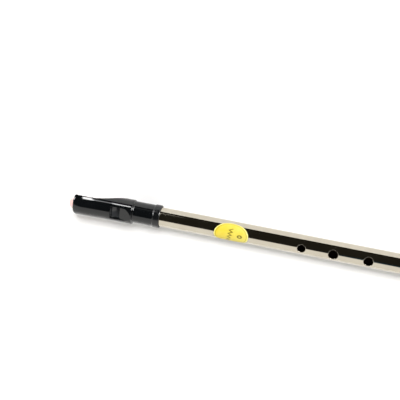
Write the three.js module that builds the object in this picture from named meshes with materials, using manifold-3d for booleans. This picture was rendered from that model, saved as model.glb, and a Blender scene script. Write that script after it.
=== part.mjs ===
// A high-D tin whistle lying on its mouthpiece collar, finger holes up.
// Millimetres, +Z up. The whistle's axis runs along X: the beak tip is at -X and the foot of the tube at +X.
// The origin is under the middle of the whistle, on the surface that it lies on.
import * as THREE from "three";
import { mergeVertices } from "three/addons/utils/BufferGeometryUtils.js";
import Module from "manifold-3d";

const wasm = await Module();
wasm.setup();

// Tube
const TUBE_RADIUS = 6.35; // half-inch tube
const TUBE_WALL = 0.4;
const VISIBLE_TUBE = 240.5; // from the head's mouth to the foot
const TUBE_IN_SOCKET = 17;
const FIT_GAP = 0.15; // clearance of the tube in the socket, and round the glued block

// Each finger hole: distance of its centre from the foot, and its diameter
const FINGER_HOLES = [
  { fromFoot: 38.8, diameter: 5.9 },
  { fromFoot: 64.9, diameter: 7.2 },
  { fromFoot: 81.1, diameter: 5.2 },
  { fromFoot: 104.3, diameter: 6.2 },
  { fromFoot: 126.6, diameter: 6.4 },
  { fromFoot: 147.0, diameter: 5.4 },
];

// Along the head, distances are measured from its mouth towards the beak tip
const RING_LENGTH = 4.4;
const RING_RADIUS = 7.5;
const RING_ROUND = 0.5;
const BARREL_RADIUS = 7.1;
const STEP_AT = 17.6; // where the barrel steps out to the thicker fipple part
const STEP_LENGTH = 0.9;
const BODY_RADIUS = 8.1;
const BODY_RISE = 0.9; // the fipple part's round front is centred this far above the tube's axis
const BEAK_RISE = 0.7; // and this much more at the lip
const BEAK_RISE_LENGTH = 23;
const LIP_AT = 57.9;
const LIP_CORNER_RADIUS = 1.7;
const NOSE_LENGTH = 6;
const NOSE_DROP = 0.22; // share of the beak's depth that the front loses at the lip

// Underside of the beak: a circular scoop that runs out into a flat
const SCOOP_RADIUS = 48.5;
const SCOOP_END = 50;
const BEAK_UNDERSIDE = 5.4; // height of the flat above the tube's axis, at its edges
const UNDERSIDE_CROWN = 0.8;
const LARGEST_EDGE_COSINE = 0.985; // keeps the two edges of a section apart where the scoop runs out

// Sound-making parts
const RAMP_TOP_AT = 18.9;
const BLADE_AT = 26.7;
const BLADE_HEIGHT = 6.4;
const WINDOW_LENGTH = 5.8;
const WINDWAY_WIDTH = 8.4;
const WINDWAY_FLOOR = 5.9;
const WINDWAY_ROOF_AT_WINDOW = 6.95;
const WINDWAY_ROOF_AT_LIP = 7.5;
const CAVITY_WALL = 1;
const WEB = 1; // wall of the shell between the window and the block
const FLOOR_STEP = 1.5;

// The block's rounded end: it swells under the beak and stands out past the lip
const BLOCK_LIP = 3.2;
const BELLY_START = 46;
const BELLY_FULL = 55;
const BELLY_DEPTH = 1.9;
const TONGUE_ROUND = 3.2; // radius of its rounded end, seen from above
const TONGUE_BLUNT = 0.3; // share of its thickness left at the very end
const TONGUE_SINK = 0.3; // how far its start lies inside the block
const TONGUE_CORNERS = 3; // exponent of its section: 2 is an ellipse, more is squarer

// Label on the tube
const LABEL_CENTRE = 47.8; // from the head's mouth towards the foot
const LABEL_LENGTH = 22.6;
const LABEL_HALF_ANGLE = THREE.MathUtils.degToRad(75);
const LABEL_TURN = THREE.MathUtils.degToRad(-2);
const LABEL_THICKNESS = 0.1;
const LABEL_GAP = 0.08;
const LABEL_BLUNT = 0.04; // share of a half turn left off each end of the ellipse

// Facets
const ROUND_STEPS = 64;
const HOLE_STEPS = 28;
const FRONT_STEPS = 36;
const BACK_STEPS = 12;
const TONGUE_STEPS = 16;
const LABEL_STEPS_ACROSS = 20;
const LABEL_STEPS_ALONG = 14;

// Places that follow from the dimensions
const BORE_RADIUS = TUBE_RADIUS - TUBE_WALL;
const TIP_AT = LIP_AT + BLOCK_LIP;
const FOOT_X = (VISIBLE_TUBE + TIP_AT) / 2;
const MOUTH_X = FOOT_X - VISIBLE_TUBE;
const AXIS_Z = RING_RADIUS;
const SOCKET_END = TUBE_IN_SOCKET + FIT_GAP;
const BLOCK_FACE_AT = BLADE_AT + WINDOW_LENGTH;
const BODY_TOP = BODY_RISE + BODY_RADIUS;
const PAST = 5; // how far a cutting tool runs past what it cuts
const OVERLAP = 1; // how far one cut reaches into the next
const WIDE = 20; // wider than the head

const headX = (distance) => MOUTH_X - distance;

function solidOf(geometry) {
  const plain = geometry.clone();
  plain.deleteAttribute("normal");
  plain.deleteAttribute("uv");
  const merged = mergeVertices(plain, 1e-4);
  return new wasm.Manifold(new wasm.Mesh({
    numProp: 3,
    vertProperties: new Float32Array(merged.attributes.position.array),
    triVerts: new Uint32Array(merged.index.array),
  }));
}

function geometryOf(solid) {
  const mesh = solid.getMesh();
  const geometry = new THREE.BufferGeometry();
  geometry.setAttribute("position", new THREE.BufferAttribute(new Float32Array(mesh.vertProperties), 3));
  geometry.setIndex(new THREE.BufferAttribute(new Uint32Array(mesh.triVerts), 1));
  geometry.computeVertexNormals();
  return geometry;
}

// A solid turned about the whistle's axis. The profile is a closed list of [x, radius], anticlockwise
// when x points right and the radius up.
function turned(profile) {
  const points = profile.map(([x, radius]) => new THREE.Vector2(radius, -x));
  points.push(points[0].clone());
  const geometry = new THREE.LatheGeometry(points, ROUND_STEPS);
  geometry.rotateZ(Math.PI / 2);
  geometry.translate(0, 0, AXIS_Z);
  return solidOf(geometry);
}

// A solid lofted through sections; each is a list of [x, y, z] and all have the same number of points
function lofted(sections) {
  const count = sections[0].length;
  const index = [];
  for (let s = 0; s + 1 < sections.length; s++) {
    for (let i = 0; i < count; i++) {
      const [a, b] = [s * count + i, s * count + (i + 1) % count];
      const [c, d] = [a + count, b + count];
      index.push(a, b, d, a, d, c);
    }
  }
  const last = (sections.length - 1) * count;
  for (let i = 1; i + 1 < count; i++) {
    index.push(0, i + 1, i);
    index.push(last, last + i, last + i + 1);
  }
  const geometry = new THREE.BufferGeometry();
  geometry.setAttribute("position", new THREE.BufferAttribute(new Float32Array(sections.flat(2)), 3));
  geometry.setIndex(index);
  return solidOf(geometry);
}

// A prism from a side-view outline of [distance from the mouth, height above the axis], centred on Y = 0
function sidePrism(outline, width) {
  const shape = new THREE.Shape(outline.map(([d, h]) => new THREE.Vector2(headX(d), AXIS_Z + h)));
  const geometry = new THREE.ExtrudeGeometry(shape, { depth: width, bevelEnabled: false });
  geometry.rotateX(Math.PI / 2);
  geometry.translate(0, width / 2, 0);
  return solidOf(geometry);
}

// Height of the underside's edges above the axis, at a distance from the mouth
function undersideHeight(distance) {
  const run = Math.max(0, SCOOP_END - distance);
  return BEAK_UNDERSIDE - (SCOOP_RADIUS - Math.sqrt(SCOOP_RADIUS ** 2 - run ** 2));
}

// What is left of a half width where corners of a radius round off an end, seen from above
function roundedHalfWidth(halfWidth, radius, distance, end) {
  const into = Math.max(0, distance - (end - radius));
  return halfWidth - radius + Math.sqrt(Math.max(0, radius ** 2 - into ** 2));
}

// One cross-section of the fipple part: a round front over a shallow crowned underside
function fippleSection(distance) {
  const { clamp, lerp, smoothstep } = THREE.MathUtils;
  const grown = smoothstep(distance, STEP_AT, STEP_AT + STEP_LENGTH);
  const radius = lerp(BARREL_RADIUS, BODY_RADIUS, grown);
  const lift = BODY_RISE * grown + BEAK_RISE * smoothstep(distance, LIP_AT - BEAK_RISE_LENGTH, LIP_AT);
  const cosine = clamp((undersideHeight(distance) - lift) / radius, -LARGEST_EDGE_COSINE, LARGEST_EDGE_COSINE);
  const corner = Math.acos(cosine);
  const halfWidth = radius * Math.sin(corner);
  const edgeHeight = lift + radius * cosine;
  const crown = Math.min(UNDERSIDE_CROWN, radius * (1 + cosine));
  const nose = clamp((distance - (LIP_AT - NOSE_LENGTH)) / NOSE_LENGTH, 0, 1);
  const depthFactor = 1 - NOSE_DROP * nose ** 2;
  const widthFactor = roundedHalfWidth(halfWidth, LIP_CORNER_RADIUS, distance, LIP_AT) / halfWidth;
  const points = [];
  for (let i = 0; i <= FRONT_STEPS; i++) {
    const angle = corner * (2 * i / FRONT_STEPS - 1);
    const height = edgeHeight + (lift + radius * Math.cos(angle) - edgeHeight) * depthFactor;
    points.push([headX(distance), radius * Math.sin(angle) * widthFactor, AXIS_Z + height]);
  }
  for (let i = 1; i < BACK_STEPS; i++) {
    const across = 1 - 2 * i / BACK_STEPS;
    const height = edgeHeight - crown * (1 - across ** 2);
    points.push([headX(distance), halfWidth * across * widthFactor, AXIS_Z + height]);
  }
  return points;
}

function spread(from, to, steps) {
  return Array.from({ length: steps + 1 }, (_, i) => from + (to - from) * i / steps);
}

// Distances that crowd towards a rounded end, as the points of a quarter circle do
function roundedEnd(end, radius, steps) {
  const share = 0.96; // of the quarter circle, so that the last section keeps some width
  return spread(0, share, steps).map((part) => end - radius * (1 - Math.sin(part * Math.PI / 2)));
}

const fippleBody = lofted([
  ...spread(STEP_AT, STEP_AT + STEP_LENGTH, 3),
  ...spread(STEP_AT + STEP_LENGTH, LIP_AT - NOSE_LENGTH, 16).slice(1),
  ...spread(LIP_AT - NOSE_LENGTH, LIP_AT - LIP_CORNER_RADIUS, 4).slice(1),
  ...roundedEnd(LIP_AT, LIP_CORNER_RADIUS, 4).slice(1),
].map(fippleSection));

function makeTube() {
  const inner = headX(TUBE_IN_SOCKET);
  let tube = turned([[inner, BORE_RADIUS], [FOOT_X, BORE_RADIUS], [FOOT_X, TUBE_RADIUS], [inner, TUBE_RADIUS]]);
  for (const { fromFoot, diameter } of FINGER_HOLES) {
    const drill = new THREE.CylinderGeometry(diameter / 2, diameter / 2, 2 * TUBE_RADIUS, HOLE_STEPS);
    drill.rotateX(Math.PI / 2);
    drill.translate(FOOT_X - fromFoot, 0, AXIS_Z + TUBE_RADIUS);
    tube = tube.subtract(solidOf(drill));
  }
  return geometryOf(tube);
}

function makeHeadShell() {
  const barrelEnd = STEP_AT + STEP_LENGTH / 2;
  const barrel = turned([
    [headX(barrelEnd), 0], [MOUTH_X, 0],
    [MOUTH_X, RING_RADIUS - RING_ROUND], [headX(RING_ROUND), RING_RADIUS],
    [headX(RING_LENGTH - RING_ROUND), RING_RADIUS], [headX(RING_LENGTH), BARREL_RADIUS],
    [headX(barrelEnd), BARREL_RADIUS],
  ]);
  const socketRadius = TUBE_RADIUS + FIT_GAP;
  const socket = turned([
    [headX(SOCKET_END), 0], [MOUTH_X + PAST, 0], [MOUTH_X + PAST, socketRadius], [headX(SOCKET_END), socketRadius],
  ]);

  // The cavity's floor rises with the underside, so that the wall under it stays closed
  const floorStart = SOCKET_END - 2 * OVERLAP;
  const floorEnd = BLOCK_FACE_AT + 2 * OVERLAP;
  const floor = spread(floorStart, floorEnd, Math.round((floorEnd - floorStart) / FLOOR_STEP))
    .map((d) => [d, undersideHeight(d) + CAVITY_WALL]);
  const aboveFloor = sidePrism([...floor, [floorEnd, BODY_TOP + PAST], [floorStart, BODY_TOP + PAST]], WIDE);
  const roundCavity = turned([
    [headX(BLOCK_FACE_AT), 0], [headX(SOCKET_END - OVERLAP), 0],
    [headX(SOCKET_END - OVERLAP), BORE_RADIUS], [headX(BLOCK_FACE_AT), BORE_RADIUS],
  ]);

  // The ramp falls from the top of the fipple part to the blade; the window opens in front of the blade
  const ramp = sidePrism([
    [RAMP_TOP_AT, BODY_TOP], [BLADE_AT, BLADE_HEIGHT], [BLADE_AT, BODY_TOP + PAST], [RAMP_TOP_AT, BODY_TOP + PAST],
  ], WINDWAY_WIDTH);
  const window = sidePrism([
    [BLADE_AT, 0], [BLOCK_FACE_AT, 0], [BLOCK_FACE_AT, BODY_TOP + PAST], [BLADE_AT, BODY_TOP + PAST],
  ], WINDWAY_WIDTH);

  // The windway runs from the window to the lip. Past the web, its channel is open underneath for the block.
  const channel = sidePrism([
    [BLOCK_FACE_AT, WINDWAY_FLOOR], [BLOCK_FACE_AT + WEB, WINDWAY_FLOOR], [BLOCK_FACE_AT + WEB, -PAST],
    [LIP_AT + PAST, -PAST], [LIP_AT + PAST, WINDWAY_ROOF_AT_LIP], [BLOCK_FACE_AT, WINDWAY_ROOF_AT_WINDOW],
  ], WINDWAY_WIDTH);

  const shell = barrel.add(fippleBody)
    .subtract(socket).subtract(roundCavity.intersect(aboveFloor))
    .subtract(ramp).subtract(window.intersect(aboveFloor)).subtract(channel);
  return geometryOf(shell);
}

// One cross-section of the block's rounded end
function tongueSection(distance, halfWidth) {
  const belly = BELLY_DEPTH * THREE.MathUtils.smoothstep(distance, BELLY_START, BELLY_FULL);
  const bottom = undersideHeight(distance) - UNDERSIDE_CROWN + TONGUE_SINK - belly;
  const into = Math.max(0, distance - (TIP_AT - TONGUE_ROUND)) / TONGUE_ROUND;
  const left = TONGUE_BLUNT + (1 - TONGUE_BLUNT) * Math.sqrt(Math.max(0, 1 - into ** 2));
  const middle = (WINDWAY_FLOOR + bottom) / 2;
  const halfHeight = (WINDWAY_FLOOR - bottom) / 2 * left;
  const half = roundedHalfWidth(halfWidth, TONGUE_ROUND, distance, TIP_AT);
  const squared = (part) => Math.sign(part) * Math.abs(part) ** (2 / TONGUE_CORNERS);
  return Array.from({ length: TONGUE_STEPS }, (_, i) => {
    const angle = 2 * Math.PI * (i + 0.5) / TONGUE_STEPS;
    return [headX(distance), half * squared(Math.sin(angle)), AXIS_Z + middle + halfHeight * squared(Math.cos(angle))];
  });
}

function makeFippleBlock() {
  const width = WINDWAY_WIDTH - 2 * FIT_GAP;
  const face = BLOCK_FACE_AT + WEB + FIT_GAP;
  const inside = sidePrism([[face, -PAST], [LIP_AT, -PAST], [LIP_AT, WINDWAY_FLOOR], [face, WINDWAY_FLOOR]], width);
  const tongue = lofted([
    ...spread(BELLY_START, TIP_AT - TONGUE_ROUND, 6),
    ...roundedEnd(TIP_AT, TONGUE_ROUND, 6).slice(1),
  ].map((distance) => tongueSection(distance, width / 2)));
  return geometryOf(fippleBody.intersect(inside).add(tongue));
}

function makeLabel() {
  const inner = TUBE_RADIUS + LABEL_GAP;
  const outer = inner + LABEL_THICKNESS;
  const sections = spread(LABEL_BLUNT, 1 - LABEL_BLUNT, LABEL_STEPS_ALONG).map((part) => {
    const along = Math.cos(Math.PI * part);
    const half = LABEL_HALF_ANGLE * Math.sin(Math.PI * part);
    const x = MOUTH_X + LABEL_CENTRE + along * LABEL_LENGTH / 2;
    const angles = spread(LABEL_TURN - half, LABEL_TURN + half, LABEL_STEPS_ACROSS);
    const arc = (radius) => angles.map((a) => [x, radius * Math.sin(a), AXIS_Z + radius * Math.cos(a)]);
    return [...arc(outer), ...arc(inner).reverse()];
  });
  return geometryOf(lofted(sections));
}

const nickel = new THREE.MeshStandardMaterial({ color: 0xd8d2c4, roughness: 0.12, metalness: 1 });
const blackPlastic = new THREE.MeshStandardMaterial({ color: 0x101418, roughness: 0.2, metalness: 0 });
const palePinkPlastic = new THREE.MeshStandardMaterial({ color: 0xf0d2cc, roughness: 0.4, metalness: 0 });
const yellowVinyl = new THREE.MeshStandardMaterial({ color: 0xfbe95c, roughness: 0.45, metalness: 0 });

const whistle = new THREE.Group();

function place(name, geometry, material) {
  const mesh = new THREE.Mesh(geometry, material);
  mesh.name = name;
  whistle.add(mesh);
}

place("tube", makeTube(), nickel);
place("head_shell", makeHeadShell(), blackPlastic);
place("fipple_block", makeFippleBlock(), palePinkPlastic);
place("label", makeLabel(), yellowVinyl);

export default whistle;
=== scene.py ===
"""A high-D tin whistle: nickel-plated tube, black mouthpiece, pale pink fipple block and a yellow label.

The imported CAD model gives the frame. Each of its four nodes is replaced by a finer mesh of the same shape.
Lengths named in millimetres are turned into metres by MM.
"""
import math

import bmesh
import bpy
from mathutils import Matrix, Vector


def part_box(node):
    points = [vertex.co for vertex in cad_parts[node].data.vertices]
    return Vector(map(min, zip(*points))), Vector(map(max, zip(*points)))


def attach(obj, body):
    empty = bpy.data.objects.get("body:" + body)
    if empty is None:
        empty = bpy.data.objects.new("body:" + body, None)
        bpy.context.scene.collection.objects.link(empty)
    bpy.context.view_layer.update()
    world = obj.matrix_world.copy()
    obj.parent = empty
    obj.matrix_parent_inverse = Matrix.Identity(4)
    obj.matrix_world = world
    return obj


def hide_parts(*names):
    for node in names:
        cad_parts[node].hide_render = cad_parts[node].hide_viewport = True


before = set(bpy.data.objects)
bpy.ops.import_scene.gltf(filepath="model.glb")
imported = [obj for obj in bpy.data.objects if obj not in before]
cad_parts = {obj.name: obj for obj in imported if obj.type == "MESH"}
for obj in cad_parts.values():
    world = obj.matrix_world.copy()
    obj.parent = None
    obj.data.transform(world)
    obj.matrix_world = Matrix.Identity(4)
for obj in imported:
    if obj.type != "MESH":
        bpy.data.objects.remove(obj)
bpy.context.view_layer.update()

MM = 0.001

# Places taken from the frame
tube_low, tube_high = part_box("tube")
head_low, head_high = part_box("head_shell")
block_low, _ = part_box("fipple_block")
label_low, label_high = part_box("label")
FOOT_X = tube_high.x
TUBE_END_X = tube_low.x
MOUTH_X = head_high.x
AXIS_Z = (tube_low.z + tube_high.z) / 2
TUBE_RADIUS = (tube_high.z - tube_low.z) / 2
LIP_AT = MOUTH_X - head_low.x
TIP_AT = MOUTH_X - block_low.x

# The tube
TUBE_WALL = 0.4 * MM
BORE_RADIUS = TUBE_RADIUS - TUBE_WALL
# Each finger hole: distance of its centre from the foot, and its diameter, in millimetres
FINGER_HOLES = [(38.8, 5.9), (64.9, 7.2), (81.1, 5.2), (104.3, 6.2), (126.6, 6.4), (147.0, 5.4)]
# Each hole lies in a square patch of the tube, this wide each way and cut into steps
PATCH_HALF_ANGLE = math.radians(47)
PATCH_STEPS = 24
PATCH_RINGS = 7
PATCH_CROWDING = 1.6  # more than 1 crowds a patch's rings towards the hole
BACK_STEPS = 66  # faces round the rest of the tube
PLAIN_STEP = 3.5 * MM
RIM_WIDTH = 0.25 * MM
RIM_DEPTH = 0.15 * MM
RIM_STEPS = 6
INNER_RIM = 0.06 * MM
END_BULGE = 0.15 * MM
END_STEPS = 8
END_SQUARENESS = 0.6  # 1 is a half round, less is squarer

# The head, measured from its mouth towards the beak tip
RING_LENGTH = 4.4 * MM
RING_RADIUS = 7.5 * MM
RING_ROUND = 0.55 * MM
FILLET = 0.25 * MM
BARREL_RADIUS = 7.1 * MM
SOCKET_RADIUS = TUBE_RADIUS + 0.15 * MM
SOCKET_DEPTH = 17.15 * MM
LEAD_IN = 0.5 * MM
STEP_AT = 17.6 * MM
STEP_LENGTH = 0.9 * MM
BODY_RADIUS = 8.1 * MM
BODY_RISE = 0.9 * MM  # the body's round front is centred this far above the tube's axis
BODY_TOP = BODY_RISE + BODY_RADIUS
BEAK_RISE = 0.7 * MM  # and this much more at the lip
BEAK_RISE_LENGTH = 23 * MM
LIP_CORNER_RADIUS = 1.7 * MM
NOSE_LENGTH = 6 * MM
NOSE_DROP = 0.22  # share of the beak's depth that the front loses at the lip
# The underside is a circular scoop that runs out into a flat
SCOOP_RADIUS = 48.5 * MM
SCOOP_END = 50 * MM
BEAK_UNDERSIDE = 5.4 * MM
UNDERSIDE_CROWN = 0.8 * MM
LARGEST_EDGE_COSINE = 0.985  # keeps the two edges of a section apart where the scoop runs out
RAMP_TOP_AT = 18.9 * MM
BLADE_AT = 26.7 * MM
BLADE_HEIGHT = 6.4 * MM
WINDOW_LENGTH = 5.8 * MM
BLOCK_FACE_AT = BLADE_AT + WINDOW_LENGTH
WINDWAY_WIDTH = 8.4 * MM
WINDWAY_FLOOR = 5.9 * MM
WINDWAY_ROOF_AT_WINDOW = 6.95 * MM
WINDWAY_ROOF_AT_LIP = 7.5 * MM
CAVITY_WALL = 1 * MM
WEB = 1 * MM  # wall of the shell between the window and the block
BLOCK_GAP = 0.1 * MM
BLOCK_CHAMFER = 0.5 * MM

# Cutting tools reach PAST the faces they cut, and start OVERLAP inside a face they share
PAST = 5 * MM
OVERLAP = 0.01 * MM
FLOOR_MARGIN = 2 * MM
ABOVE_WIDTH = 20 * MM
BELOW_WIDTH = 22 * MM

# Remeshing: the size of a voxel, and the rounds of smoothing that soften the edges
HEAD_VOXEL = 0.19 * MM
HEAD_SMOOTHING = 3
BLOCK_VOXEL = 0.15 * MM
BLOCK_SMOOTHING = 2

# The block's rounded end: it swells under the beak and stands out past the lip
BELLY_START = 46 * MM
BELLY_FULL = 55 * MM
BELLY_DEPTH = 1.9 * MM
TONGUE_ROUND = 3.2 * MM
TONGUE_BLUNT = 0.3  # share of its thickness left at the very end
TONGUE_SINK = 0.3 * MM  # how far its start lies inside the block
TONGUE_CORNERS = 3  # exponent of its section: 2 is an ellipse, more is squarer

# The label. The frame's label has blunt ends, so its box is a little shorter than the ellipse here.
LABEL_STRETCH = 1.006
LABEL_HALF_LENGTH = (label_high.x - label_low.x) / 2 * LABEL_STRETCH
LABEL_CENTRE_X = (label_high.x + label_low.x) / 2
LABEL_HALF_ANGLE = math.radians(75)
LABEL_TURN = math.radians(-2)
LABEL_THICKNESS = 0.08 * MM
LABEL_GAP = 0.02 * MM
LABEL_EDGE = 0.55  # share of the thickness left at the edge
LABEL_RINGS = 14
LABEL_STEPS = 128

# Its print, as shares of the label's half length and half width
ZIGZAG_AT = -0.08
ZIGZAG_MIDDLE = -0.08
ZIGZAG_HALF = 0.62
ZIGZAG_SLANT = 0.12
ZIGZAG_STEP = 0.13
ZIGZAG_REACH = 0.2
ZIGZAG_LINE = 0.055
ZIGZAG_SHIFT = 10.0  # sets where its first corner falls
DOT_AT = (0.5, 0.0)
DOT_RADIUS = 0.105
DOT_LINE = 0.045
OUTLINE_AT = 0.9
PRINT_SOFTNESS = 0.02
PALE_EDGE = (0.93, 0.95)

# Camera
CAMERA_PLACE = Vector((17.75, 273.87, 543.36)) * MM
CAMERA_RIGHT = Vector((0.9725, 0.1115, -0.2045))
CAMERA_UP = Vector((-0.1870, 0.8970, -0.4004))
CAMERA_LENS = 84
CAMERA_SENSOR = 36

# The floor and the sky. The sky's bands are angles from straight up towards +Y, in degrees.
FLOOR_HALF = 3.0
BRIGHT_SKY = (1.29, 1.27, 1.22)
DARK_SIDE = (0.022, 0.020, 0.015)
DARK_EDGE = (0.010, 0.045, 0.070)
BRIGHT_BAND_END = (-20, -16)
EDGE_BAND_END = (-9, -3)
EDGE_TINT_FROM = (0.0, 0.03)

# Lights
OVERHEAD_DIRECTION = (0, 0, 1)
KEY_DIRECTION = (0.1, 0.69, 0.72)
PANEL_DISTANCE = 6
LAMP_DISTANCE = 97 * MM
LAMP_LEAD = 21 * MM
BEAK_SHOULDER = Vector((0, 6, 14)) * MM
# Small lamps by the beak: name, span of angles from straight up, span of X in millimetres, radiance
BEAK_LAMPS = [
    ("lamp_tip", (61, 82), (-163.5, -154.5), 24),
    ("lamp_left", (64, 73), (-154.5, -144), 4),
    ("lamp_right", (64, 73), (-144, -129.5), 18),
]
# Far panels: name, span of angles from straight up, span of directions along X, radiance
FAR_PANELS = [
    ("strip", (64, 73), (-0.207, -0.155), 0.35),
    ("window_right", (40, 78), (0.6, 0.85), 50),
    ("window_left", (38, 62), (-0.92, -0.75), 30),
]


# ---------------------------------------------------------------- mesh helpers

def linked(name, mesh):
    thing = bpy.data.objects.new(name, mesh)
    bpy.context.scene.collection.objects.link(thing)
    return thing


def face_outwards(mesh):
    work = bmesh.new()
    work.from_mesh(mesh)
    bmesh.ops.recalc_face_normals(work, faces=work.faces)
    work.to_mesh(mesh)
    work.free()


def new_object(name, vertices, faces):
    mesh = bpy.data.meshes.new(name)
    mesh.from_pydata([tuple(v) for v in vertices], [], faces)
    mesh.validate()
    work = bmesh.new()
    work.from_mesh(mesh)
    bmesh.ops.remove_doubles(work, verts=work.verts, dist=1e-7)
    work.to_mesh(mesh)
    work.free()
    face_outwards(mesh)
    return linked(name, mesh)


def settle(thing):
    """Applies the modifiers of a mesh object."""
    bpy.context.view_layer.update()
    evaluated = thing.evaluated_get(bpy.context.evaluated_depsgraph_get())
    mesh = bpy.data.meshes.new_from_object(evaluated)
    thing.modifiers.clear()
    old = thing.data
    thing.data = mesh
    bpy.data.meshes.remove(old)
    return thing


def combined(thing, operation, tool):
    """A boolean of thing with tool; the tool is used up."""
    step = thing.modifiers.new("combine", "BOOLEAN")
    step.operation = operation
    step.solver = "EXACT"
    step.object = tool
    settle(thing)
    bpy.data.objects.remove(tool)
    return thing


def joined(thing, other):
    """Both meshes in one object; the other is used up. A voxel remesh then merges where they overlap."""
    work = bmesh.new()
    work.from_mesh(thing.data)
    work.from_mesh(other.data)
    work.to_mesh(thing.data)
    work.free()
    bpy.data.objects.remove(other)
    return thing


def turned(name, profile, closed=False, steps=160):
    """A solid turned about the whistle's axis. An open profile of (x, radius) gets a flat cap at each end."""
    vertices = []
    for x, radius in profile:
        vertices += [on_tube(x, 2 * math.pi * i / steps, radius) for i in range(steps)]
    faces = []
    rows = len(profile)
    for r in range(rows if closed else rows - 1):
        s = (r + 1) % rows
        bridge(faces, range(r * steps, (r + 1) * steps), range(s * steps, (s + 1) * steps))
    if not closed:
        faces.append(tuple(range(steps)))
        faces.append(tuple(reversed(range((rows - 1) * steps, rows * steps))))
    return new_object(name, vertices, faces)


def lofted(name, sections):
    """A solid through sections with the same number of points, capped at both ends."""
    count = len(sections[0])
    vertices = [point for section in sections for point in section]
    faces = []
    for s in range(len(sections) - 1):
        bridge(faces, range(s * count, (s + 1) * count), range((s + 1) * count, (s + 2) * count))
    faces.append(tuple(range(count)))
    last = (len(sections) - 1) * count
    faces.append(tuple(range(last, last + count)))
    return new_object(name, vertices, faces)


def prism(name, outline, width):
    """A side view of (distance from the mouth, height above the axis), made width wide about Y = 0."""
    count = len(outline)
    vertices = []
    for side in (-width / 2, width / 2):
        vertices += [(MOUTH_X - d, side, AXIS_Z + h) for d, h in outline]
    faces = [tuple(range(count)), tuple(range(count, 2 * count))]
    bridge(faces, range(count), range(count, 2 * count))
    return new_object(name, vertices, faces)


def bridge(faces, ring, other):
    """Joins two rings of as many vertices with four-sided faces."""
    for i in range(len(ring)):
        j = (i + 1) % len(ring)
        faces.append((ring[i], ring[j], other[j], other[i]))


def smoothed(thing, voxel, rounds):
    """Remeshes a solid finely and softens its edges, as a moulding's are."""
    remesh = thing.modifiers.new("remesh", "REMESH")
    remesh.mode = "VOXEL"
    remesh.voxel_size = voxel
    soften = thing.modifiers.new("soften", "SMOOTH")
    soften.factor = 0.5
    soften.iterations = rounds
    settle(thing)
    shade_smooth(thing)
    return thing


def shade_smooth(thing):
    thing.data.polygons.foreach_set("use_smooth", [True] * len(thing.data.polygons))


def smoothstep(value, low, high):
    t = min(1.0, max(0.0, (value - low) / (high - low)))
    return t * t * (3 - 2 * t)


def spread(low, high, steps):
    return [low + (high - low) * i / steps for i in range(steps + 1)]


def arc(centre, radius, start, end, steps):
    """Points of an arc; angles in degrees."""
    points = []
    for angle in spread(math.radians(start), math.radians(end), steps):
        points.append((centre[0] + radius * math.cos(angle), centre[1] + radius * math.sin(angle)))
    return points


# ---------------------------------------------------------------- the tube

def on_tube(x, angle, radius):
    return (x, radius * math.sin(angle), AXIS_Z + radius * math.cos(angle))


def tube_stations():
    """X of every ring of the tube, and for each finger hole the index of its first ring."""
    half = TUBE_RADIUS * PATCH_HALF_ANGLE
    stations = [TUBE_END_X]
    starts = []
    for from_foot, _ in reversed(FINGER_HOLES):
        low = FOOT_X - from_foot * MM - half
        steps = max(1, math.ceil((low - stations[-1]) / PLAIN_STEP))
        stations += spread(stations[-1], low, steps)[1:]
        starts.append(len(stations) - 1)
        stations += spread(low, low + 2 * half, PATCH_STEPS)[1:]
    end = FOOT_X - END_BULGE
    steps = math.ceil((end - stations[-1]) / PLAIN_STEP)
    stations += spread(stations[-1], end, steps)[1:]
    return stations, starts


def tube_angles():
    front = [PATCH_HALF_ANGLE * (2 * i / PATCH_STEPS - 1) for i in range(PATCH_STEPS)]
    rest = 2 * math.pi - 2 * PATCH_HALF_ANGLE
    back = [PATCH_HALF_ANGLE + rest * i / BACK_STEPS for i in range(BACK_STEPS)]
    return front + back


def tube_grid(vertices, faces, radius, stations, angles, starts):
    """One surface of the tube, without the patches that the holes lie in."""
    base = len(vertices)
    around = len(angles)
    for x in stations:
        vertices += [on_tube(x, angle, radius) for angle in angles]
    patches = set()
    for start in starts:
        patches |= {(s, a) for s in range(start, start + PATCH_STEPS) for a in range(PATCH_STEPS)}
    for s in range(len(stations) - 1):
        low = base + s * around
        high = low + around
        for a in range(around):
            if (s, a) not in patches:
                b = (a + 1) % around
                faces.append((low + a, low + b, high + b, high + a))


def patch_border(start):
    """The border of a hole's patch, in order, as indices of stations and angles."""
    border = [(start + i, 0) for i in range(PATCH_STEPS)]
    border += [(start + PATCH_STEPS, i) for i in range(PATCH_STEPS)]
    border += [(start + PATCH_STEPS - i, PATCH_STEPS) for i in range(PATCH_STEPS)]
    border += [(start, PATCH_STEPS - i) for i in range(PATCH_STEPS)]
    return border


def hole_patch(vertices, faces, ring, offsets, centre, rim, radius):
    """Fills a patch from its border to a hole. Returns the hole's ring and each vertex's turn about it."""
    turns = [math.atan2(dy * TUBE_RADIUS / radius, dx) for dx, dy in offsets]
    for k in range(1, PATCH_RINGS + 1):
        part = 1 - (1 - k / PATCH_RINGS) ** PATCH_CROWDING
        first = len(vertices)
        for (dx, dy), turn in zip(offsets, turns):
            rim_x = rim * math.cos(turn)
            rim_y = radius * math.asin(rim * math.sin(turn) / radius)
            x = centre + dx + (rim_x - dx) * part
            y = dy + (rim_y - dy) * part
            vertices.append(on_tube(x, y / radius, radius))
        fresh = range(first, len(vertices))
        bridge(faces, ring, fresh)
        ring = fresh
    return ring, turns


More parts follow.
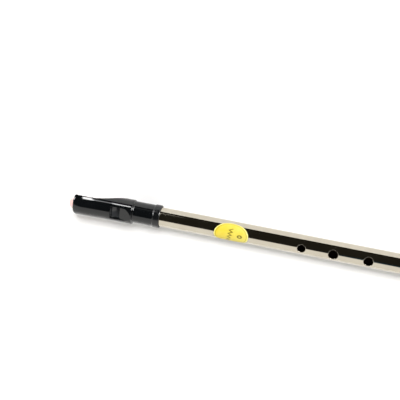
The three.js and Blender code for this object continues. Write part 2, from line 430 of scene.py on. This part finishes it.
def hole_wall(vertices, faces, ring, turns, centre, radius, inner_ring):
    """The rolled outer edge and the short wall of a punched hole."""
    for i in range(1, RIM_STEPS + 1):
        angle = math.pi / 2 * i / RIM_STEPS
        reach = radius + RIM_WIDTH * (1 - math.sin(angle))
        depth = RIM_DEPTH * (1 - math.cos(angle))
        first = len(vertices)
        for turn in turns:
            y = reach * math.sin(turn)
            height = math.sqrt((TUBE_RADIUS - depth) ** 2 - y ** 2)
            vertices.append((centre + reach * math.cos(turn), y, AXIS_Z + height))
        fresh = range(first, len(vertices))
        bridge(faces, ring, fresh)
        ring = fresh
    bridge(faces, ring, inner_ring)


def tube_end(vertices, faces, angles, ring, inner_ring, bulge):
    """An end cut square, which stands out by bulge along X between its broken edges."""
    x = vertices[ring[0]][0]
    for i in range(1, END_STEPS):
        angle = math.pi * i / END_STEPS
        across = math.copysign(abs(math.cos(angle)) ** END_SQUARENESS, math.cos(angle))
        radius = BORE_RADIUS + TUBE_WALL / 2 + TUBE_WALL / 2 * across
        reach = bulge * math.sin(angle) ** END_SQUARENESS
        fresh = range(len(vertices), len(vertices) + len(angles))
        vertices += [on_tube(x + reach, turn, radius) for turn in angles]
        bridge(faces, ring, fresh)
        ring = fresh
    bridge(faces, ring, inner_ring)


def make_tube():
    stations, starts = tube_stations()
    angles = tube_angles()
    around = len(angles)
    holes = [(FOOT_X - from_foot * MM, diameter / 2 * MM) for from_foot, diameter in reversed(FINGER_HOLES)]
    vertices = []
    faces = []
    ends = []
    rims = []
    for radius, rim_width in ((TUBE_RADIUS, RIM_WIDTH), (BORE_RADIUS, INNER_RIM)):
        base = len(vertices)
        first_face = len(faces)
        tube_grid(vertices, faces, radius, stations, angles, starts)
        ends.append((range(base, base + around), range(len(vertices) - around, len(vertices))))
        layer_rims = []
        for (centre, hole_radius), start in zip(holes, starts):
            border = patch_border(start)
            ring = [base + s * around + a for s, a in border]
            offsets = [(stations[s] - centre, radius * angles[a]) for s, a in border]
            rim = hole_radius + rim_width
            layer_rims.append(hole_patch(vertices, faces, ring, offsets, centre, rim, radius))
        rims.append(layer_rims)
        inner_faces = range(first_face, len(faces))
    for (centre, hole_radius), (ring, turns), (inner_ring, _) in zip(holes, *rims):
        hole_wall(vertices, faces, ring, turns, centre, hole_radius, inner_ring)
    for ring, inner_ring, bulge in zip(*ends, (0.0, END_BULGE)):
        tube_end(vertices, faces, angles, ring, inner_ring, bulge)

    mesh = bpy.data.meshes.new("tube_fine")
    mesh.from_pydata(vertices, [], faces)
    thing = linked("tube_fine", mesh)
    mesh.materials.append(nickel())
    # The bore's material darkens the inside with painted shade
    mesh.materials.append(bore_with_painted_shade())
    mesh.polygons.foreach_set("material_index", [int(i in inner_faces) for i in range(len(faces))])
    face_outwards(mesh)
    shade_smooth(thing)
    return thing


# ---------------------------------------------------------------- the mouthpiece

def underside_height(distance):
    run = max(0.0, SCOOP_END - distance)
    return BEAK_UNDERSIDE - (SCOOP_RADIUS - math.sqrt(SCOOP_RADIUS ** 2 - run ** 2))


def rounded_half_width(half_width, radius, distance, end):
    """What is left of a half width where corners of a radius round off an end, seen from above."""
    into = max(0.0, distance - (end - radius))
    return half_width - radius + math.sqrt(max(0.0, radius ** 2 - into ** 2))


def rounded_end(end, radius, steps):
    """Distances that crowd towards a rounded end; the last one keeps some width."""
    share = 0.96
    return [end - radius * (1 - math.sin(part * math.pi / 2)) for part in spread(0, share, steps)]


def fipple_section(distance, front_steps=96, back_steps=32):
    """A section of the mouthpiece's body: a round front and a slightly crowned underside."""
    grown = smoothstep(distance, STEP_AT, STEP_AT + STEP_LENGTH)
    radius = BARREL_RADIUS + (BODY_RADIUS - BARREL_RADIUS) * grown
    lift = BODY_RISE * grown + BEAK_RISE * smoothstep(distance, LIP_AT - BEAK_RISE_LENGTH, LIP_AT)
    cosine = (underside_height(distance) - lift) / radius
    cosine = min(LARGEST_EDGE_COSINE, max(-LARGEST_EDGE_COSINE, cosine))
    corner = math.acos(cosine)
    half_width = radius * math.sin(corner)
    edge = lift + radius * cosine
    crown = min(UNDERSIDE_CROWN, radius * (1 + cosine))
    nose = min(1.0, max(0.0, (distance - (LIP_AT - NOSE_LENGTH)) / NOSE_LENGTH))
    depth_factor = 1 - NOSE_DROP * nose ** 2
    width_factor = rounded_half_width(half_width, LIP_CORNER_RADIUS, distance, LIP_AT) / half_width
    x = MOUTH_X - distance
    points = []
    for i in range(front_steps + 1):
        angle = corner * (2 * i / front_steps - 1)
        height = edge + (lift + radius * math.cos(angle) - edge) * depth_factor
        points.append((x, radius * math.sin(angle) * width_factor, AXIS_Z + height))
    for i in range(1, back_steps):
        across = 1 - 2 * i / back_steps
        points.append((x, half_width * across * width_factor, AXIS_Z + edge - crown * (1 - across ** 2)))
    return points


def fipple_body(name):
    stations = spread(STEP_AT, STEP_AT + STEP_LENGTH, 6)
    stations += spread(STEP_AT + STEP_LENGTH, LIP_AT - LIP_CORNER_RADIUS, 60)[1:]
    stations += rounded_end(LIP_AT, LIP_CORNER_RADIUS, 12)[1:]
    return lofted(name, [fipple_section(d) for d in stations])


def make_barrel():
    """The turned end of the mouthpiece: the collar, the socket for the tube and the start of the cavity."""
    end = MOUTH_X - STEP_AT - STEP_LENGTH / 2
    socket_end = MOUTH_X - SOCKET_DEPTH
    ring_height = RING_RADIUS - RING_ROUND
    profile = [(MOUTH_X, SOCKET_RADIUS + LEAD_IN)]
    profile += arc((MOUTH_X - RING_ROUND, ring_height), RING_ROUND, 0, 90, 6)
    profile += arc((MOUTH_X - RING_LENGTH + RING_ROUND, ring_height), RING_ROUND, 90, 150, 5)
    profile += arc((MOUTH_X - RING_LENGTH - FILLET, BARREL_RADIUS + FILLET), FILLET, 0, -90, 4)
    profile += [(end, BARREL_RADIUS), (end, BORE_RADIUS), (socket_end, BORE_RADIUS)]
    profile += [(socket_end, SOCKET_RADIUS), (MOUTH_X - LEAD_IN, SOCKET_RADIUS)]
    return turned("barrel", profile, closed=True)


def cavity_floor():
    distances = spread(SOCKET_DEPTH - FLOOR_MARGIN, BLOCK_FACE_AT + FLOOR_MARGIN, 16)
    return [(d, underside_height(d) + CAVITY_WALL) for d in distances]


def floor_tool(name, height, width):
    """A prism between the cavity's floor and a height well above or below it."""
    floor = cavity_floor()
    return prism(name, floor + [(floor[-1][0], height), (floor[0][0], height)], width)


def make_cavity_tool():
    profile = [(MOUTH_X - BLOCK_FACE_AT, BORE_RADIUS), (MOUTH_X - STEP_AT + PAST, BORE_RADIUS)]
    above = floor_tool("above_tool", 2 * PAST, ABOVE_WIDTH)
    return combined(turned("cavity_tool", profile), "INTERSECT", above)


def make_ramp_tool():
    outline = [(RAMP_TOP_AT, BODY_TOP), (BLADE_AT, BLADE_HEIGHT)]
    outline += [(BLADE_AT, BODY_TOP + PAST), (RAMP_TOP_AT, BODY_TOP + PAST)]
    return prism("ramp_tool", outline, WINDWAY_WIDTH)


def make_window_tool():
    outline = [(BLADE_AT - OVERLAP, 0), (BLOCK_FACE_AT, 0)]
    outline += [(BLOCK_FACE_AT, BODY_TOP + PAST), (BLADE_AT - OVERLAP, BODY_TOP + PAST)]
    window = prism("window_tool", outline, WINDWAY_WIDTH)
    return combined(window, "DIFFERENCE", floor_tool("below_tool", -3 * PAST, BELOW_WIDTH))


def make_channel_tool():
    """The windway's channel; past the web it is open underneath for the block."""
    start = BLOCK_FACE_AT - OVERLAP
    outline = [(start, WINDWAY_FLOOR), (BLOCK_FACE_AT + WEB, WINDWAY_FLOOR), (BLOCK_FACE_AT + WEB, -PAST)]
    outline += [(LIP_AT + PAST, -PAST), (LIP_AT + PAST, WINDWAY_ROOF_AT_LIP), (start, WINDWAY_ROOF_AT_WINDOW)]
    return prism("channel_tool", outline, WINDWAY_WIDTH)


def make_head_shell():
    shell = fipple_body("head_shell_fine")
    combined(shell, "DIFFERENCE", make_cavity_tool())
    combined(shell, "DIFFERENCE", make_ramp_tool())
    combined(shell, "DIFFERENCE", make_window_tool())
    combined(shell, "DIFFERENCE", make_channel_tool())
    joined(shell, make_barrel())
    smoothed(shell, HEAD_VOXEL, HEAD_SMOOTHING)
    shell.data.materials.clear()
    shell.data.materials.append(black_plastic())
    mark_inside(shell)
    return shell


def mark_inside(shell):
    """Marks the cavity's faces in the attribute "inside"; they get a lighter painted grey that stands in for
    light seen through the window.
    """
    near = 0.25 * MM
    end = BLOCK_FACE_AT + 0.5 * MM
    marks = shell.data.attributes.new("inside", "FLOAT", "POINT")
    for vertex, mark in zip(shell.data.vertices, marks.data):
        x, y, z = vertex.co
        height = z - AXIS_Z
        distance = MOUTH_X - x
        in_bore = math.hypot(y, height) < BORE_RADIUS + near and SOCKET_DEPTH < distance < end
        mark.value = float(in_bore and height > underside_height(distance) + CAVITY_WALL / 2)


def tongue_section(distance, half_width, steps=48):
    belly = BELLY_DEPTH * smoothstep(distance, BELLY_START, BELLY_FULL)
    bottom = underside_height(distance) - UNDERSIDE_CROWN + TONGUE_SINK - belly
    into = max(0.0, distance - (TIP_AT - TONGUE_ROUND)) / TONGUE_ROUND
    left = TONGUE_BLUNT + (1 - TONGUE_BLUNT) * math.sqrt(max(0.0, 1 - into ** 2))
    middle = (WINDWAY_FLOOR + bottom) / 2
    half_height = (WINDWAY_FLOOR - bottom) / 2 * left
    half = rounded_half_width(half_width, TONGUE_ROUND, distance, TIP_AT)

    def squared(part):
        return math.copysign(abs(part) ** (2 / TONGUE_CORNERS), part)

    points = []
    for i in range(steps):
        angle = 2 * math.pi * (i + 0.5) / steps
        height = middle + half_height * squared(math.cos(angle))
        points.append((MOUTH_X - distance, half * squared(math.sin(angle)), AXIS_Z + height))
    return points


def make_fipple_block():
    width = WINDWAY_WIDTH - 2 * BLOCK_GAP
    face = BLOCK_FACE_AT + WEB + BLOCK_GAP
    outline = [(face, -PAST), (LIP_AT, -PAST), (LIP_AT, WINDWAY_FLOOR)]
    outline += [(face + BLOCK_CHAMFER, WINDWAY_FLOOR), (face, WINDWAY_FLOOR - BLOCK_CHAMFER)]
    body = fipple_body("fipple_block_fine")
    combined(body, "INTERSECT", prism("block_tool", outline, width))
    stations = spread(BELLY_START, TIP_AT - TONGUE_ROUND, 24) + rounded_end(TIP_AT, TONGUE_ROUND, 16)[1:]
    joined(body, lofted("tongue", [tongue_section(d, width / 2) for d in stations]))
    smoothed(body, BLOCK_VOXEL, BLOCK_SMOOTHING)
    body.data.materials.clear()
    body.data.materials.append(pink_plastic())
    return body


# ---------------------------------------------------------------- the label

def make_label():
    """A thin elliptical sticker bent round the tube. Its UV map is the flat sticker, -1 to 1 each way."""
    vertices = []
    flat = []
    outside = (LABEL_THICKNESS, LABEL_EDGE * LABEL_THICKNESS)
    underneath = (LABEL_GAP, LABEL_GAP)
    for thickness, edge_thickness in (outside, underneath):
        vertices.append(on_tube(LABEL_CENTRE_X, LABEL_TURN, TUBE_RADIUS + thickness))
        flat.append((0.0, 0.0))
        for r in range(1, LABEL_RINGS + 1):
            lift = edge_thickness if r == LABEL_RINGS else thickness
            for i in range(LABEL_STEPS):
                turn = 2 * math.pi * i / LABEL_STEPS
                u = r / LABEL_RINGS * math.cos(turn)
                v = r / LABEL_RINGS * math.sin(turn)
                x = LABEL_CENTRE_X + u * LABEL_HALF_LENGTH
                vertices.append(on_tube(x, LABEL_TURN + v * LABEL_HALF_ANGLE, TUBE_RADIUS + lift))
                flat.append((u, v))
    faces = []
    layer = 1 + LABEL_RINGS * LABEL_STEPS
    for base in (0, layer):
        firsts = [base + 1 + r * LABEL_STEPS for r in range(LABEL_RINGS)]
        rings = [range(first, first + LABEL_STEPS) for first in firsts]
        for i in range(LABEL_STEPS):
            faces.append((base, rings[0][i], rings[0][(i + 1) % LABEL_STEPS]))
        for ring, other in zip(rings, rings[1:]):
            bridge(faces, ring, other)
    bridge(faces, range(layer - LABEL_STEPS, layer), range(2 * layer - LABEL_STEPS, 2 * layer))

    mesh = bpy.data.meshes.new("label_fine")
    mesh.from_pydata(vertices, [], faces)
    sheet = mesh.uv_layers.new(name="flat")
    for loop in mesh.loops:
        sheet.data[loop.index].uv = flat[loop.vertex_index]
    face_outwards(mesh)
    thing = linked("label_fine", mesh)
    mesh.materials.append(yellow_vinyl())
    shade_smooth(thing)
    return thing


# ---------------------------------------------------------------- materials

class Nodes:
    """A short way to write a node tree."""

    def __init__(self, tree):
        self.tree = tree

    def add(self, kind, **settings):
        node = self.tree.nodes.new(kind)
        for key, value in settings.items():
            setattr(node, key, value)
        return node

    def link(self, source, target):
        self.tree.links.new(source, target)

    def math(self, operation, first, second=None):
        node = self.add("ShaderNodeMath", operation=operation)
        for socket, value in zip(node.inputs, (first, second)):
            if isinstance(value, (int, float)):
                socket.default_value = value
            elif value is not None:
                self.link(value, socket)
        return node.outputs[0]

    def place(self, scale=(1, 1, 1)):
        """Object coordinates, scaled."""
        coordinates = self.add("ShaderNodeTexCoord")
        mapping = self.add("ShaderNodeMapping")
        mapping.inputs["Scale"].default_value = scale
        self.link(coordinates.outputs["Object"], mapping.inputs["Vector"])
        return mapping.outputs["Vector"]

    def apart(self, vector):
        """The X, Y and Z of a vector."""
        node = self.add("ShaderNodeSeparateXYZ")
        self.link(vector, node.inputs[0])
        return node.outputs["X"], node.outputs["Y"], node.outputs["Z"]

    def noise(self, vector, scale, detail=2.0):
        node = self.add("ShaderNodeTexNoise")
        node.inputs["Scale"].default_value = scale
        node.inputs["Detail"].default_value = detail
        self.link(vector, node.inputs["Vector"])
        return node.outputs["Fac"]

    def between(self, value, low, high, from_low=0.0, from_high=1.0):
        """Maps a value from one range to another, and stops at its ends."""
        node = self.add("ShaderNodeMapRange")
        node.inputs["From Min"].default_value = from_low
        node.inputs["From Max"].default_value = from_high
        node.inputs["To Min"].default_value = low
        node.inputs["To Max"].default_value = high
        self.link(value, node.inputs["Value"])
        return node.outputs["Result"]

    def mix(self, factor, first, second):
        """A mix of two colours, each one a tuple or a socket."""
        node = self.add("ShaderNodeMix", data_type="RGBA")
        self.link(factor, node.inputs[0])
        for socket, value in ((node.inputs[6], first), (node.inputs[7], second)):
            if isinstance(value, tuple):
                socket.default_value = (*value, 1)
            else:
                self.link(value, socket)
        return node.outputs[2]


class Material(Nodes):
    """A new material and its shader."""

    def __init__(self, name):
        self.material = bpy.data.materials.new(name)
        self.material.use_nodes = True
        super().__init__(self.material.node_tree)
        self.shader = self.tree.nodes["Principled BSDF"]

    def bump(self, height, strength, distance):
        node = self.add("ShaderNodeBump")
        node.inputs["Strength"].default_value = strength
        node.inputs["Distance"].default_value = distance
        self.link(height, node.inputs["Height"])
        self.link(node.outputs["Normal"], self.shader.inputs["Normal"])

    def set(self, **values):
        for key, value in values.items():
            self.shader.inputs[key.replace("_", " ")].default_value = value

    def drive(self, **sources):
        for key, source in sources.items():
            self.link(source, self.shader.inputs[key.replace("_", " ")])


def nickel():
    """Polished plate with cloudy smudges, and faint draw lines along the tube."""
    dull = (0.495, 0.455, 0.380)
    clear = (0.525, 0.487, 0.408)
    n = Material("nickel_plate")
    n.set(Metallic=1.0)
    smudge = n.noise(n.place(), 90, 4)
    draw = n.noise(n.place((60, 2500, 2500)), 1.0, 2)
    n.drive(Base_Color=n.mix(n.between(smudge, 0, 1, 0.35, 0.7), dull, clear))
    n.drive(Roughness=n.math("ADD", n.between(smudge, 0.04, 0.10, 0.3, 0.75), n.between(draw, 0.0, 0.03)))
    n.bump(draw, 0.12, 0.02 * MM)
    return n.material


def bore_with_painted_shade():
    """The tube's inside, which has no plate. Its dark colour is painted shade that makes the finger holes
    read black.
    """
    # Both tones are painted shade, much darker than bare brass
    dark = (0.10, 0.075, 0.04)
    light = (0.17, 0.13, 0.075)
    n = Material("bore_with_painted_shade")
    n.set(Metallic=1.0)
    grain = n.noise(n.place((300, 3000, 3000)), 1.0, 3)
    n.drive(Base_Color=n.mix(grain, dark, light), Roughness=n.between(grain, 0.4, 0.6))
    return n.material


def black_plastic():
    darkest = (0.0018, 0.0024, 0.003)
    dark = (0.0034, 0.004, 0.0046)
    # Painted light: a lighter grey on the cavity's faces, so the window reads mid-grey
    painted_window_light = (0.034, 0.036, 0.038)
    collar_end = MOUTH_X - RING_LENGTH
    collar_blend = 0.3 * MM
    collar_roughness = 0.2
    n = Material("black_plastic")
    n.set(IOR=1.5)
    soft = n.noise(n.place(), 140, 3)
    fine = n.noise(n.place(), 2600, 2)
    inside = n.add("ShaderNodeAttribute", attribute_name="inside").outputs["Fac"]
    # The cavity's faces, marked "inside", take the painted light; the rest is black that varies at random
    n.drive(Base_Color=n.mix(inside, n.mix(soft, darkest, dark), painted_window_light))
    x, _, z = n.apart(n.add("ShaderNodeTexCoord").outputs["Object"])
    # The collar has a satin finish and the rest is polished
    collar = n.between(x, 0.0, 1.0, collar_end - collar_blend, collar_end)
    polished = n.between(soft, 0.03, 0.075, 0.3, 0.7)
    n.drive(Roughness=n.math("ADD", polished, n.math("MULTIPLY", collar, collar_roughness)))
    # A mould parting line runs along each side, level with the widest place
    away = n.math("ABSOLUTE", n.math("SUBTRACT", z, AXIS_Z + BODY_RISE))
    seam = n.between(away, 1.0, 0.0, 0.04 * MM, 0.16 * MM)
    n.bump(n.math("ADD", n.math("MULTIPLY", fine, 0.15), seam), 0.25, 0.05 * MM)
    return n.material


def pink_plastic():
    deep = (0.74, 0.56, 0.535)
    pale = (0.79, 0.62, 0.595)
    n = Material("pink_plastic")
    n.set(IOR=1.5, Subsurface_Weight=0.3, Subsurface_Scale=1 * MM)
    soft = n.noise(n.place(), 300, 3)
    n.drive(Base_Color=n.mix(soft, deep, pale), Roughness=n.between(soft, 0.3, 0.42))
    n.bump(n.noise(n.place(), 3000, 2), 0.2, 0.03 * MM)
    return n.material


def yellow_vinyl():
    """Printed film: a zigzag across the middle, a small ring towards the foot, and a faint outline."""
    deep = (0.665, 0.50, 0.018)
    warm = (0.68, 0.585, 0.095)
    pale = (0.78, 0.72, 0.2)
    print_colour = (0.15, 0.115, 0.002)
    n = Material("yellow_vinyl")
    u, v, _ = n.apart(n.add("ShaderNodeUVMap", uv_map="flat").outputs["UV"])

    def length(first, second):
        squares = [n.math("MULTIPLY", part, part) for part in (first, second)]
        return n.math("SQRT", n.math("ADD", *squares))

    def band(value, centre, half):
        away = n.math("ABSOLUTE", n.math("SUBTRACT", value, centre))
        return n.between(away, 1.0, 0.0, half - PRINT_SOFTNESS, half + PRINT_SOFTNESS)

    radius = length(u, v)
    wave = n.math("PINGPONG", n.math("ADD", v, ZIGZAG_SHIFT), ZIGZAG_STEP)
    middle = n.math("ADD", n.math("MULTIPLY", v, ZIGZAG_SLANT), ZIGZAG_AT - ZIGZAG_REACH / 2)
    line = n.math("ADD", n.math("MULTIPLY", wave, ZIGZAG_REACH / ZIGZAG_STEP), middle)
    zigzag = n.math("MULTIPLY", band(u, line, ZIGZAG_LINE), band(v, ZIGZAG_MIDDLE, ZIGZAG_HALF))
    from_dot = length(n.math("SUBTRACT", u, DOT_AT[0]), n.math("SUBTRACT", v, DOT_AT[1]))
    ring = band(from_dot, DOT_RADIUS, DOT_LINE)
    outline = n.math("MULTIPLY", band(radius, OUTLINE_AT, PRINT_SOFTNESS), 0.5)
    ink = n.math("MINIMUM", n.math("ADD", n.math("ADD", zigzag, ring), outline), 1.0)
    soft = n.noise(n.place(), 250, 3)
    ground = n.mix(n.math("ADD", soft, n.math("MULTIPLY", u, 0.45)), deep, warm)
    edged = n.mix(n.between(radius, 0.0, 1.0, *PALE_EDGE), ground, pale)
    n.drive(Base_Color=n.mix(ink, edged, print_colour), Roughness=n.between(soft, 0.38, 0.5))
    n.bump(n.noise(n.place(), 1500, 3), 0.15, 0.03 * MM)
    return n.material


def floor_paper():
    dark = (0.905, 0.90, 0.895)
    light = (0.925, 0.92, 0.915)
    n = Material("floor_paper")
    n.set(Roughness=0.9)
    n.drive(Base_Color=n.mix(n.noise(n.place(), 400, 3), dark, light))
    return n.material


# ---------------------------------------------------------------- camera, floor and light

def make_camera():
    data = bpy.data.cameras.new("camera")
    data.lens = CAMERA_LENS
    data.sensor_width = CAMERA_SENSOR
    data.clip_start = 0.01
    data.clip_end = 20
    camera = linked("camera", data)
    right = CAMERA_RIGHT.normalized()
    back = right.cross(CAMERA_UP).normalized()
    up = back.cross(right)
    turn = Matrix((right, up, back)).transposed().to_4x4()
    camera.matrix_world = Matrix.Translation(CAMERA_PLACE) @ turn
    bpy.context.scene.camera = camera


def make_floor():
    corners = [(x * FLOOR_HALF, y * FLOOR_HALF, 0) for x, y in ((-1, -1), (1, -1), (1, 1), (-1, 1))]
    floor = new_object("floor", corners, [(0, 1, 2, 3)])
    floor.data.materials.append(floor_paper())


def make_world():
    """A bright studio, dark overhead and on the side where the camera stands."""
    world = bpy.data.worlds.new("studio")
    world.use_nodes = True
    bpy.context.scene.world = world
    n = Nodes(world.node_tree)
    x, y, z = n.apart(n.add("ShaderNodeTexCoord").outputs["Generated"])
    angle = n.math("ARCTAN2", y, z)

    def past(value, band):
        return n.between(value, 0.0, 1.0, *band)

    edge = n.mix(past(x, EDGE_TINT_FROM), DARK_SIDE, DARK_EDGE)
    dark = n.mix(past(angle, [math.radians(end) for end in EDGE_BAND_END]), edge, DARK_SIDE)
    sky = n.mix(past(angle, [math.radians(end) for end in BRIGHT_BAND_END]), BRIGHT_SKY, dark)
    n.link(sky, n.tree.nodes["Background"].inputs["Color"])


def new_light(name, kind, place, target, strength):
    data = bpy.data.lights.new(name, kind)
    data.energy = strength
    light = linked(name, data)
    light.location = place
    light.rotation_euler = (Vector(target) - Vector(place)).to_track_quat("-Z", "Y").to_euler()
    light.visible_camera = False
    return light


def soft_sun(name, direction, strength, angle):
    """A wide light that mirrors do not show."""
    sun = new_light(name, "SUN", Vector(direction), (0, 0, 0), strength)
    sun.data.angle = math.radians(angle)
    sun.visible_glossy = False


def around_axis(x, angle, reach):
    """A direction or place at an angle from straight up towards +Y, in degrees."""
    return Vector((x, reach * math.sin(math.radians(angle)), reach * math.cos(math.radians(angle))))


def glint_light(name, place, target, width, height, radiance):
    """A rectangle that only polished faces show."""
    panel = new_light(name, "AREA", place, target, math.pi * radiance * width * height)
    panel.data.shape = "RECTANGLE"
    panel.data.size = width
    panel.data.size_y = height
    panel.visible_diffuse = False


def glint_panel(name, around, across, radiance):
    """A far panel. around is its span of angles, and across its span of directions along X."""
    x = sum(across) / 2
    side = math.sqrt(1 - x * x)
    direction = around_axis(x, sum(around) / 2, side)
    seen_from = Vector((MOUTH_X - LIP_AT / 2, 0, 0))
    width = PANEL_DISTANCE * (across[1] - across[0]) / side
    height = PANEL_DISTANCE * math.radians(around[1] - around[0]) * side
    glint_light(name, seen_from + direction * PANEL_DISTANCE, seen_from, width, height, radiance)


def glint_lamp(name, around, along, radiance):
    """A small lamp close to the beak. along is its span of X, in millimetres."""
    x = sum(along) / 2 * MM
    place = BEAK_SHOULDER + around_axis(x, sum(around) / 2, LAMP_DISTANCE)
    target = BEAK_SHOULDER + Vector((x + LAMP_LEAD, 0, 0))
    width = (along[1] - along[0]) * MM
    height = LAMP_DISTANCE * math.radians(around[1] - around[0])
    glint_light(name, place, target, width, height, radiance)


make_camera()
make_floor()
make_world()
soft_sun("overhead", OVERHEAD_DIRECTION, 0.1, 50)
soft_sun("key", KEY_DIRECTION, 4.3, 26)
for lamp in BEAK_LAMPS:
    glint_lamp(*lamp)
for panel in FAR_PANELS:
    glint_panel(*panel)

for piece, body, node, slot in (
        (make_tube(), "tube_body", "tube", "nickel_plate"),
        (make_label(), "tube_body", "label", "yellow_vinyl"),
        (make_head_shell(), "head_body", "head_shell", "black_plastic"),
        (make_fipple_block(), "head_body", "fipple_block", "pink_plastic")):
    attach(piece, body)
    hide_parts(node)

bpy.context.scene.view_settings.view_transform = "Standard"
